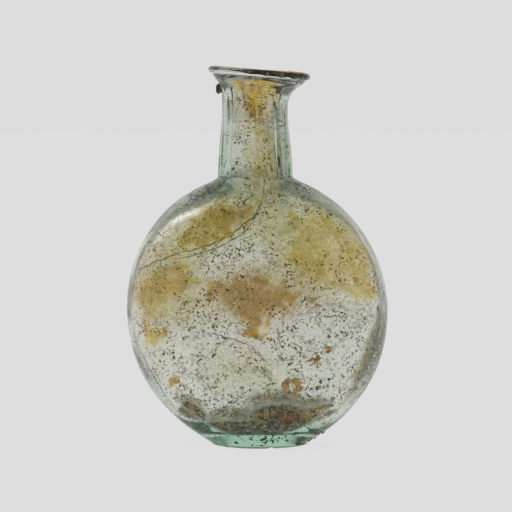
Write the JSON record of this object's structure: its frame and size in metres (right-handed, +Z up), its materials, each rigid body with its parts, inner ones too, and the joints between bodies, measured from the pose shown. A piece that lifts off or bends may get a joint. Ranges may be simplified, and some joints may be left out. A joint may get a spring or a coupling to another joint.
{
  "type": "lentoid bottle",
  "caption": "Free-blown glass bottle with a round body flattened to a lens, a straight neck and a flared, rolled rim set askew, with burial crusts inside.",
  "frame": {"origin": "on the table under the middle of the lens, at the bottom centre of the bounding box", "axes": "+Z up the bottle to its mouth, +X to the right across the broad face, -Y out of the face that is looked at, so Y is the flattened direction"},
  "size_m": [0.0824, 0.042, 0.12],
  "materials": {
    "pale_glass": "clear pale aqua, faintly weathered",
    "brown_silt": "dry silt",
    "ochre_crust": "matt lime crust",
    "yellow_crust": "thin matt crust",
    "olive_crust": "thin matt crust",
    "amber_crust": "waxy lump",
    "dark_mineral": "rough grain"
  },
  "bodies": {
    "root": {"glass_vessel": "pale_glass", "base_silt": "brown_silt", "left_shoulder_crust": "ochre_crust", "right_shoulder_crust": "yellow_crust", "middle_crust": "ochre_crust", "left_flank_crust": "yellow_crust", "right_edge_crust": "olive_crust", "amber_lump": "amber_crust", "right_flecks": "amber_crust", "left_flecks": "ochre_crust", "dark_grains": "dark_mineral", "neck_streak": "yellow_crust", "neck_nodule": "dark_mineral"}
  },
  "joints": []
}
